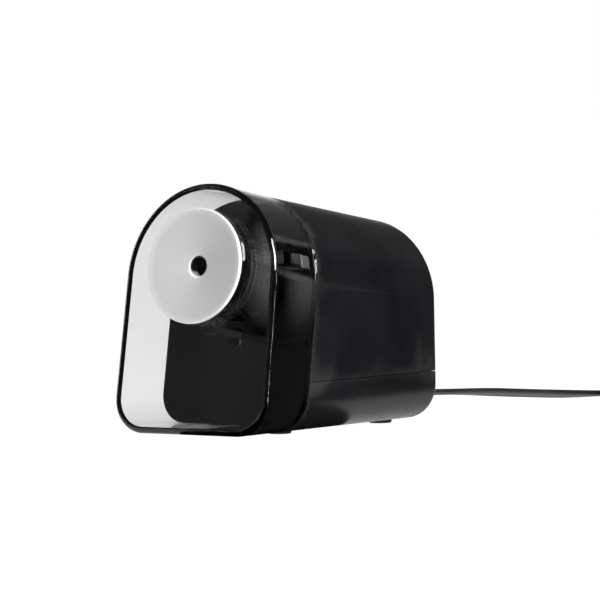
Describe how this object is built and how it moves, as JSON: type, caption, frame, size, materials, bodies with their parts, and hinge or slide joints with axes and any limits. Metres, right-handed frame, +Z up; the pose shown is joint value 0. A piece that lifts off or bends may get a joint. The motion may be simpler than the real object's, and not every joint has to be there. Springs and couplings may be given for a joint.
{
  "type": "electric pencil sharpener",
  "caption": "Arch-fronted desktop electric pencil sharpener with a clear pull-off shavings receptacle, a dished silver pencil disc, a geared helical cutter and a flat mains cord.",
  "frame": {"origin": "middle of the footprint of the sharpener without its cord, on the table", "axes": "+Y from the pencil disc to the rear, +Z up, +X to the right seen from the rear"},
  "size_m": [0.1366, 0.3376, 0.1034],
  "materials": {
    "clear_plastic": "clear, very lightly smoked moulded plastic",
    "silver_plastic": "satin silver painted plastic",
    "black_plastic": "satin black moulded plastic",
    "gloss_black": "polished black moulded plastic",
    "rubber": "soft black rubber",
    "zinc": "plain zinc casting",
    "steel": "ground steel",
    "laminated_steel": "stacked electrical steel",
    "bronze": "sintered bronze",
    "copper": "enamelled copper",
    "white_nylon": "natural nylon",
    "red_plastic": "red nylon",
    "black_wire": "black wire insulation",
    "white_wire": "white wire insulation",
    "cord_vinyl": "black flexible vinyl",
    "nickel": "nickel-plated brass"
  },
  "bodies": {
    "case": {"front_bulkhead": "gloss_black", "upper_housing": "black_plastic", "base": "black_plastic", "rubber_feet": "rubber", "case_screws": "steel", "gear_frame": "zinc", "frame_screws": "steel", "ring_gear": "steel", "carrier_bush": "bronze", "idler_axle": "steel", "retaining_clips": "steel", "stator_stack": "laminated_steel", "shading_rods": "copper", "coil_bobbin": "white_nylon", "coil_winding": "copper", "motor_front_bracket": "zinc", "motor_rear_bracket": "zinc", "motor_bushes": "bronze", "motor_screws": "steel", "lever_pin": "steel", "start_switch": "red_plastic", "interlock_switch": "red_plastic", "supply_lead": "black_wire", "neutral_lead": "white_wire", "strain_relief": "cord_vinyl", "power_cord": "cord_vinyl", "cord_coil": "cord_vinyl", "cord_tie": "black_plastic", "plug_lead": "cord_vinyl", "plug_body": "cord_vinyl", "plug_blades": "nickel"},
    "receptacle": {"shavings_receptacle": "clear_plastic", "pencil_disc": "silver_plastic"},
    "rotor_assembly": {"rotor": "laminated_steel", "motor_shaft": "steel", "motor_pinion": "bronze", "cooling_fan": "black_plastic"},
    "idler": {"idler_gear": "white_nylon"},
    "cutter_head": {"cutter_carrier": "zinc", "cutter_pin": "steel", "carrier_gear": "white_nylon"},
    "cutter": {"helical_cutter": "steel", "cutter_pinion": "steel"},
    "lever": {"start_lever": "black_plastic"},
    "button": {"start_button": "white_nylon"},
    "plunger": {"interlock_plunger": "black_plastic"}
  },
  "joints": [
    {"name": "receptacle_slide", "type": "slide", "parent": "case", "child": "receptacle", "axis": [0, -0.9871, 0.1599], "range_m": [0, 0.05]},
    {"name": "rotor_spin", "type": "hinge", "parent": "case", "child": "rotor_assembly", "pos_m": [0, 0.02766, 0.02626], "axis": [0, -0.9871, 0.1599], "continuous": true},
    {"name": "idler_spin", "type": "hinge", "parent": "case", "child": "idler", "pos_m": [-0.016, 0.00764, 0.04026], "axis": [0, -0.9871, 0.1599], "continuous": true},
    {"name": "cutter_head_spin", "type": "hinge", "parent": "case", "child": "cutter_head", "pos_m": [0, 0.00178, 0.0604], "axis": [0, -0.9871, 0.1599], "continuous": true},
    {"name": "cutter_spin", "type": "hinge", "parent": "cutter_head", "child": "cutter", "pos_m": [0, -0.01197, 0.06933], "axis": [0, -0.9385, 0.3453], "continuous": true},
    {"name": "lever_tilt", "type": "hinge", "parent": "case", "child": "lever", "pos_m": [0, -0.01645, 0.03853], "axis": [1, 0, 0], "range_deg": [0, 5.9], "stiffness_Nm_per_rad": 0.05},
    {"name": "button_press", "type": "slide", "parent": "case", "child": "button", "axis": [0, -0.1599, -0.9871], "range_m": [0, 0.00095]},
    {"name": "plunger_press", "type": "slide", "parent": "case", "child": "plunger", "axis": [0, 0.9871, -0.1599], "range_m": [0, 0.0015], "stiffness_N_per_m": 120}
  ],
  "couplings": [
    {"joint": "idler_spin", "follows": "rotor_spin", "ratio": -0.33333},
    {"joint": "cutter_head_spin", "follows": "rotor_spin", "ratio": 0.097222},
    {"joint": "cutter_spin", "follows": "rotor_spin", "ratio": -0.20192},
    {"joint": "button_press", "follows": "lever_tilt", "m_per_rad": 0.009}
  ]
}
